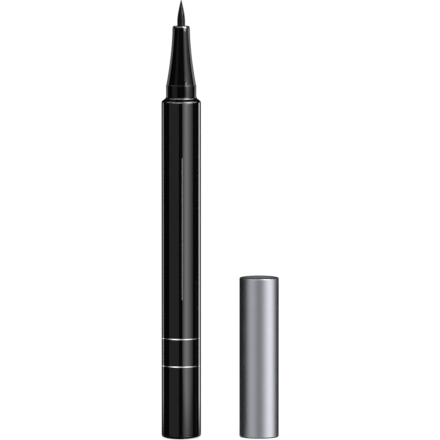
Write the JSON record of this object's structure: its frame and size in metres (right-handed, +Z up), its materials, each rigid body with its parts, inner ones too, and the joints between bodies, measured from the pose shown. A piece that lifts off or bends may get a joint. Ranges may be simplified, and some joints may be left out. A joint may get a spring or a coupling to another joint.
{
  "type": "eyeliner pen",
  "caption": "Liquid eyeliner pen with a tapered brush tip standing on its tail, and its satin metal cap with a sprung inner cap standing beside it.",
  "frame": {"origin": "centre of the flat face under the pen's tail, on the pen's axis", "axes": "+Z up along the pen's axis towards the brush; +X from the pen towards the cap; -Y towards the viewer"},
  "size_m": [0.0327, 0.014, 0.1229],
  "materials": {
    "gloss_black": "gloss black",
    "moulded_black": "satin black moulding",
    "natural_plastic": "natural translucent polypropylene",
    "white_plastic": "white moulding",
    "black_rubber": "matt rubber",
    "wick_fibre": "bonded fibre",
    "inked_bristle": "nylon bristles wet with black ink",
    "steel": "bright stainless steel",
    "satin_silver": "satin silver anodised",
    "dark_grey": "dark grey satin"
  },
  "bodies": {
    "pen": {"barrel": "gloss_black", "tail_plug": "gloss_black", "nozzle": "gloss_black", "ink_tank": "natural_plastic", "ink_collector": "white_plastic", "tank_seal": "black_rubber", "nozzle_seal": "black_rubber", "feed_wick": "wick_fibre", "brush_holder": "moulded_black", "brush_retainer": "white_plastic", "brush_tip": "inked_bristle"},
    "mixing_ball": {"mixing_ball": "steel"},
    "cap": {"cap_shell": "satin_silver", "cap_liner": "moulded_black", "cap_crown": "dark_grey", "inner_cap_spring": "steel"},
    "inner_cap": {"inner_cap": "natural_plastic"}
  },
  "joints": [
    {"name": "ball_shake", "type": "slide", "parent": "pen", "child": "mixing_ball", "axis": [0, 0, 1], "range_m": [0, 0.0517]},
    {"name": "cap_lift", "type": "slide", "parent": "pen", "child": "cap", "axis": [0, 0, 1], "range_m": [0, 0.125]},
    {"name": "inner_cap_press", "type": "slide", "parent": "cap", "child": "inner_cap", "axis": [0, 0, 1], "range_m": [0, 0.0015], "stiffness_N_per_m": 360, "springref_m": -0.003, "deforming": ["inner_cap_spring"]}
  ]
}
